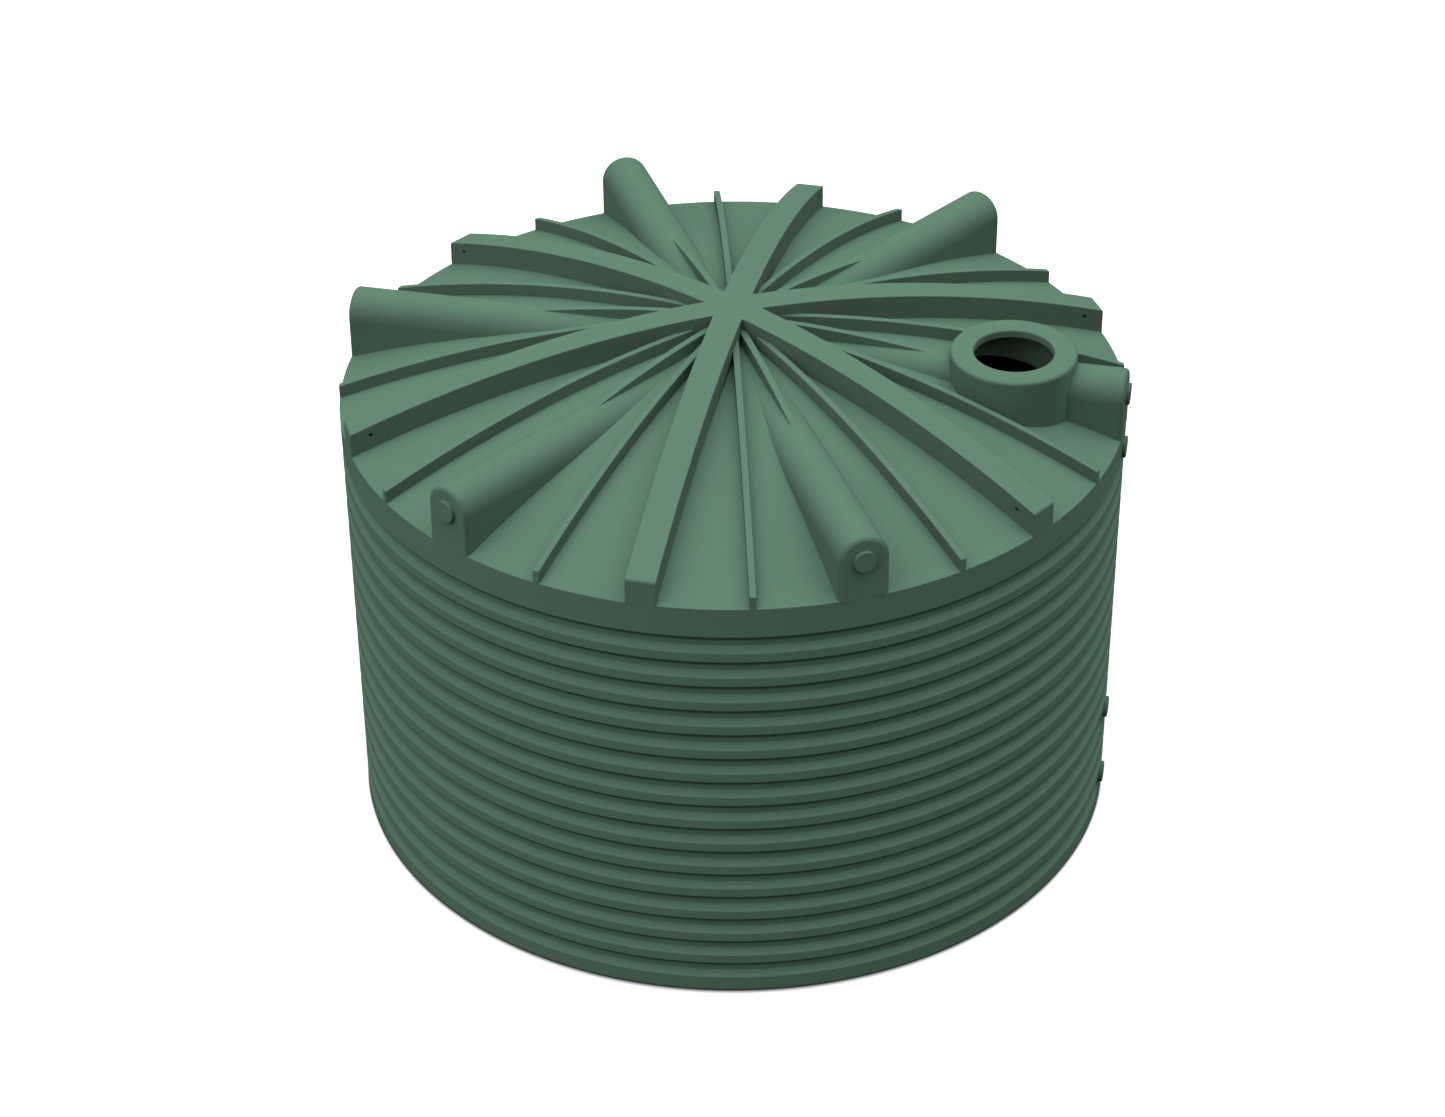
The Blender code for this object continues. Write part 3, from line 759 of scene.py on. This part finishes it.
# ---------------------------------------------------------------------------
# Humps
# A round-backed hump runs level from high on the dome out to the rim in each sector, with a flat
# end face that a pipe can enter. Its arch rolls over into the face, a thin rib joins it to the hub,
# and a round pad for a fitting stands on the face.
# ---------------------------------------------------------------------------
# The humps and the collar have a milder painted shade on their upright faces.
HUMP_PAINTED_LIGHT = {**ROOF_PAINTED_LIGHT, "Painted side shade": (0.930, 0.850, 0.890, 1.0)}
HUMP_HALF_WIDTH = 0.124
HUMP_ARCH_HEIGHT = RIM_HEIGHT + 0.205
HUMP_START = 0.340
HUMP_END_ROUND = 0.022
HUMP_SINK = 0.009
HUMP_STEPS = 60
HUMP_ARCH_STEPS = 40
HUMP_ROLL_STEPS = 6
SHORT_RIB_END = 1.000
SHORT_RIB_STEPS = 24
PAD_RADIUS = 0.055
PAD_PROUD = 0.017
PAD_STEPS = 64
PAD_EDGE_ROUND = 0.002
PAD_EDGE_STEPS = 3
HUMP_PAD_SEAT = 0.004


def hump_section(inset):
    """Half widths and heights of the hump's arch, taken in from the full size by an inset."""
    radius = HUMP_HALF_WIDTH - inset
    points = [(-radius, None)]
    for step in range(HUMP_ARCH_STEPS + 1):
        angle = math.pi * (1.0 - step / HUMP_ARCH_STEPS)
        points.append((radius * math.cos(angle), HUMP_ARCH_HEIGHT + radius * math.sin(angle)))
    points.append((radius, None))
    return points


def loft(bm, rings):
    """Joins closed rings of points into a skin, with a face on either end."""
    for here, there in zip(rings, rings[1:]):
        for step in range(len(here)):
            after = (step + 1) % len(here)
            bm.faces.new((here[step], there[step], there[after], here[after]))
    bm.faces.new(rings[0])
    bm.faces.new(list(reversed(rings[-1])))


def add_hump(bm, start, end, rounded):
    """Adds a hump between two lines, each a distance from the axis at each distance off centre."""
    stations = [(step / HUMP_STEPS, 0.0) for step in range(HUMP_STEPS + 1)]
    reach = HUMP_END_ROUND if rounded else 0.0
    if rounded:
        rolls = range(1, HUMP_ROLL_STEPS + 1)
        stations += [(1.0, math.pi / 2.0 * step / HUMP_ROLL_STEPS) for step in rolls]
    rings = []
    for share, roll in stations:
        inset = HUMP_END_ROUND * (1.0 - math.cos(roll))
        past = HUMP_END_ROUND * math.sin(roll)
        ring = []
        for across, level in hump_section(inset):
            first, last = start(across), end(across) - reach
            along = first + (last - first) * share + past
            surface = dome_height(math.hypot(along, across))
            if level is None:
                level = min(surface - RIB_ROOT, HUMP_ARCH_HEIGHT)
            ring.append(bm.verts.new((along, across, max(level, surface - HUMP_SINK))))
        rings.append(ring)
    loft(bm, rings)


def add_short_rib(bm):
    """Adds the thin rib from the hub into the hump, at one height over the dome."""
    half = RIB_SIZES["Width"] / 2.0
    rise = RIB_SIZES["Rib height"]
    section = ((-half, -RIB_ROOT), (-half, rise), (half, rise), (half, -RIB_ROOT))
    rings = []
    for step in range(SHORT_RIB_STEPS + 1):
        along = hub_side + (SHORT_RIB_END - hub_side) * step / SHORT_RIB_STEPS
        surface = dome_height(along)
        rings.append([bm.verts.new((along, across, surface + level)) for across, level in section])
    loft(bm, rings)


def add_pad(bm, face, height, back):
    """Adds a round pad with a softened edge that stands out along +X, rooted behind a face."""
    front = face + PAD_PROUD
    rim_centre = (PAD_RADIUS - PAD_EDGE_ROUND, front - PAD_EDGE_ROUND)
    outline = [(0.0, face - back), (PAD_RADIUS, face - back)]
    outline += round_corner(rim_centre, PAD_EDGE_ROUND, 0.0, 90.0, PAD_EDGE_STEPS)
    outline += [(0.0, front)]
    pad = turned(outline, PAD_STEPS)
    lay = Matrix.Translation((0.0, 0.0, height)) @ Matrix.Rotation(math.pi / 2.0, 4, "Y")
    bmesh.ops.transform(pad, matrix=lay, verts=pad.verts)
    mesh = bpy.data.meshes.new("pad")
    pad.to_mesh(mesh)
    pad.free()
    bm.from_mesh(mesh)
    bpy.data.meshes.remove(mesh)


def collar_edge(side):
    """Where the collar's wall stands on either side of its middle, at each distance off centre."""
    return lambda across: COLLAR_X + side * math.sqrt(COLLAR_SEAT**2 - across**2)


def straight_edge(distance):
    """A line at one distance from the axis, at each distance off centre."""
    return lambda across: distance


hump_skin = moulded_plastic("hump_polyethylene", HUMP_PAINTED_LIGHT)
for number in range(1, SECTORS + 1):
    bm = bmesh.new()
    if number == 1:
        add_hump(bm, straight_edge(HUMP_START), collar_edge(-1.0), False)
        add_hump(bm, collar_edge(1.0), straight_edge(TANK_RADIUS), True)
        nodes = ("hump_1_inner", "hump_1_outer")
    else:
        add_hump(bm, straight_edge(HUMP_START), straight_edge(TANK_RADIUS), True)
        nodes = (f"hump_{number}",)
    add_short_rib(bm)
    add_pad(bm, TANK_RADIUS, HUMP_ARCH_HEIGHT, HUMP_PAD_SEAT)
    bmesh.ops.remove_doubles(bm, verts=bm.verts, dist=EDGE_WELD)
    bmesh.ops.dissolve_degenerate(bm, edges=bm.edges, dist=EDGE_WELD)
    turn = Matrix.Rotation((number - 1) * SECTOR_TURN, 4, "Z")
    bmesh.ops.transform(bm, matrix=turn, verts=bm.verts)
    bmesh.ops.recalc_face_normals(bm, faces=bm.faces)
    keep_piece(settle(new_piece(f"pipe_hump_{number}", bm, hump_skin)), *nodes)

# ---------------------------------------------------------------------------
# Wall pads
# Three round pads under the manhole's hump take the overflow and the outlets: one on the smooth
# band and two lower down, where each bridges the grooves behind it.
# ---------------------------------------------------------------------------
PAD_HEIGHTS = {
    "overflow_pad": RIM_HEIGHT - 0.101,
    "wall_pad_1": 0.583,
    "wall_pad_2": 0.158,
}
WALL_PAD_SEAT = 0.020

for name, level in PAD_HEIGHTS.items():
    bm = bmesh.new()
    add_pad(bm, TANK_RADIUS, level, WALL_PAD_SEAT)
    bmesh.ops.recalc_face_normals(bm, faces=bm.faces)
    keep_piece(settle(new_piece(name + "_disc", bm, hump_skin)), name)

# ---------------------------------------------------------------------------
# Manhole collar
# A round turret stands across the first hump and holds the open manhole in a thick level top. Its
# outer edge and the manhole's lip are rounded, and below the top the bore widens to the turret's
# own skin, so its inner wall shows.
# ---------------------------------------------------------------------------
COLLAR_TOP = RIM_HEIGHT + 0.3786
COLLAR_TOP_SKIN = 0.039
COLLAR_EDGE_ROUND = 0.018
COLLAR_EDGE_STEPS = 6
COLLAR_STEPS = 128
MANHOLE_RADIUS = 0.1977
MANHOLE_LIP_ROUND = 0.010
MANHOLE_LIP_STEPS = 5

bore_top = COLLAR_TOP - COLLAR_TOP_SKIN
outline = [(COLLAR_BORE, bore_top), (MANHOLE_RADIUS, bore_top)]
lip = (MANHOLE_RADIUS + MANHOLE_LIP_ROUND, COLLAR_TOP - MANHOLE_LIP_ROUND)
outline += round_corner(lip, MANHOLE_LIP_ROUND, 180.0, 90.0, MANHOLE_LIP_STEPS)
edge = (COLLAR_RADIUS - COLLAR_EDGE_ROUND, COLLAR_TOP - COLLAR_EDGE_ROUND)
outline += round_corner(edge, COLLAR_EDGE_ROUND, 90.0, 0.0, COLLAR_EDGE_STEPS)
outline += [(COLLAR_RADIUS, 0.0), (COLLAR_BORE, 0.0)]
bm = turned(outline, COLLAR_STEPS, centre=(COLLAR_X, 0.0), closed=True)
for vert in bm.verts:
    if vert.co.z < RIM_HEIGHT:
        outer = Vector((vert.co.x - COLLAR_X, vert.co.y)).length > COLLAR_SEAT
        sink = RIB_ROOT if outer else ROOF_SKIN
        vert.co.z = dome_height(vert.co.xy.length) - sink
collar_skin = moulded_plastic("collar_polyethylene", HUMP_PAINTED_LIGHT)
keep_piece(settle(new_piece("manhole_turret", bm, collar_skin)), "manhole_collar")

# ---------------------------------------------------------------------------
# Studio
# Not part of the tank: a plain pale floor that looks white to the camera, a white dome with seven
# soft lights in it, and the camera at the photograph's angle. The floor keeps the tank's shadow,
# and a painted shadow, a thin dark line along its front foot.
# ---------------------------------------------------------------------------
FLOOR_REACH = 60.0
FLOOR_STEPS = 96
FLOOR_GLOW = 0.4
UNSEEN_FLOOR = (0.06, 0.06, 0.06, 1.0)
# The thin shadow along the front foot: which way it lies, how far out it is darkest and where it
# ends, how dark it is there, and the least that it narrows to towards the sides.
SHADOW_AIM = (0.22, -0.975, 0.0)
SHADOW_CORE = 0.003
SHADOW_LENGTH = 0.034
SHADOW_TONE = 0.03
SHADOW_LEAST = 0.05
# Soft lights of the studio's dome: azimuth and elevation in degrees, sharpness and strength.
STUDIO_LIGHTS = (
    (0.0, 90.0, 4.0, 1.86),
    (0.0, 90.0, 20.0, 0.81),
    (90.0, 0.0, 2.0, 0.40),
    (180.0, 0.0, 2.0, 0.32),
    (0.0, 40.0, 8.0, 0.97),
    (45.0, 40.0, 8.0, 0.54),
    (225.0, 40.0, 8.0, 1.57),
)
CAMERA_PLACE = (3.1467, -14.1983, 11.0328)
CAMERA_VIEW = Vector((-0.182724, 0.808882, -0.558858))
CAMERA_ROLL = -0.3582
CAMERA_LENS = 83.853
CAMERA_SENSOR = 36.0


def seen_white(tree):
    """1 for the rays that see the studio as plain white: the camera's, mirrored and refracted."""
    ray = add(tree, "ShaderNodeLightPath").outputs
    either_way = maths(tree, "MAXIMUM", ray["Is Glossy Ray"], ray["Is Transmission Ray"])
    return maths(tree, "MAXIMUM", ray["Is Camera Ray"], either_way)


floor_paint = bpy.data.materials.new("studio_floor")
floor_paint.use_nodes = True
tree = floor_paint.node_tree
tree.nodes.clear()
place = add(tree, "ShaderNodeTexCoord").outputs["Object"]
spot = vector_maths(tree, "MULTIPLY", place, LEVEL_PART)
off_axis = vector_maths(tree, "LENGTH", spot)
lies_front = vector_maths(tree, "DOT_PRODUCT", vector_maths(tree, "NORMALIZE", spot), SHADOW_AIM)
off_foot = maths(tree, "SUBTRACT", off_axis, TANK_RADIUS)
beyond = maths(tree, "DIVIDE", off_foot, maths(tree, "MAXIMUM", lies_front, SHADOW_LEAST))
# Painted shadow: the floor's colour darkens in a thin line along the tank's front foot.
painted_shadow_floor = add(
    tree,
    "ShaderNodeMapRange",
    {"Value": beyond, "From Min": SHADOW_CORE, "From Max": SHADOW_LENGTH, "To Min": SHADOW_TONE},
).outputs["Result"]
pale_with_painted_shadow = add(tree, "ShaderNodeCombineColor", dict.fromkeys(range(3), painted_shadow_floor)).outputs[0]
white = add(tree, "ShaderNodeBsdfDiffuse", {"Color": pale_with_painted_shadow})
glow = add(tree, "ShaderNodeEmission", {"Color": pale_with_painted_shadow, "Strength": FLOOR_GLOW})
bright = add(tree, "ShaderNodeAddShader", {0: white.outputs[0], 1: glow.outputs[0]})
grey = add(tree, "ShaderNodeBsdfDiffuse", {"Color": UNSEEN_FLOOR})
floor_shaders = {0: seen_white(tree), 1: grey.outputs[0], 2: bright.outputs[0]}
floor_mix = add(tree, "ShaderNodeMixShader", floor_shaders)
add(tree, "ShaderNodeOutputMaterial", {"Surface": floor_mix.outputs[0]})
bm = bmesh.new()
bmesh.ops.create_circle(bm, cap_ends=True, segments=FLOOR_STEPS, radius=FLOOR_REACH)
studio_floor = new_piece("studio_floor", bm, floor_paint)

world = bpy.data.worlds.new("studio")
bpy.context.scene.world = world
world.use_nodes = True
tree = world.node_tree
tree.nodes.clear()
direction = add(tree, "ShaderNodeTexCoord").outputs["Generated"]
light = 0.0
for azimuth, elevation, sharpness, strength in STUDIO_LIGHTS:
    turn, tilt = math.radians(azimuth), math.radians(elevation)
    aim = (math.cos(tilt) * math.cos(turn), math.cos(tilt) * math.sin(turn), math.sin(tilt))
    near_aim = maths(tree, "MAXIMUM", vector_maths(tree, "DOT_PRODUCT", direction, aim), 0.0)
    lobe = maths(tree, "POWER", near_aim, sharpness)
    light = maths(tree, "MULTIPLY_ADD", lobe, strength, light)
backdrop = add(tree, "ShaderNodeBackground", {"Color": WHITE, "Strength": 1.0})
sky = add(tree, "ShaderNodeBackground", {"Color": WHITE, "Strength": light})
world_shaders = {0: seen_white(tree), 1: sky.outputs[0], 2: backdrop.outputs[0]}
world_mix = add(tree, "ShaderNodeMixShader", world_shaders)
add(tree, "ShaderNodeOutputWorld", {"Surface": world_mix.outputs[0]})

camera_data = bpy.data.cameras.new("camera")
camera_data.sensor_width = CAMERA_SENSOR
camera_data.lens = CAMERA_LENS
camera = bpy.data.objects.new("camera", camera_data)
bpy.context.scene.collection.objects.link(camera)
camera.location = CAMERA_PLACE
aim = CAMERA_VIEW.to_track_quat("-Z", "Y").to_matrix()
camera.rotation_euler = (aim @ Matrix.Rotation(math.radians(CAMERA_ROLL), 3, "Z")).to_euler()
bpy.context.scene.camera = camera
bpy.context.scene.view_settings.view_transform = "Standard"
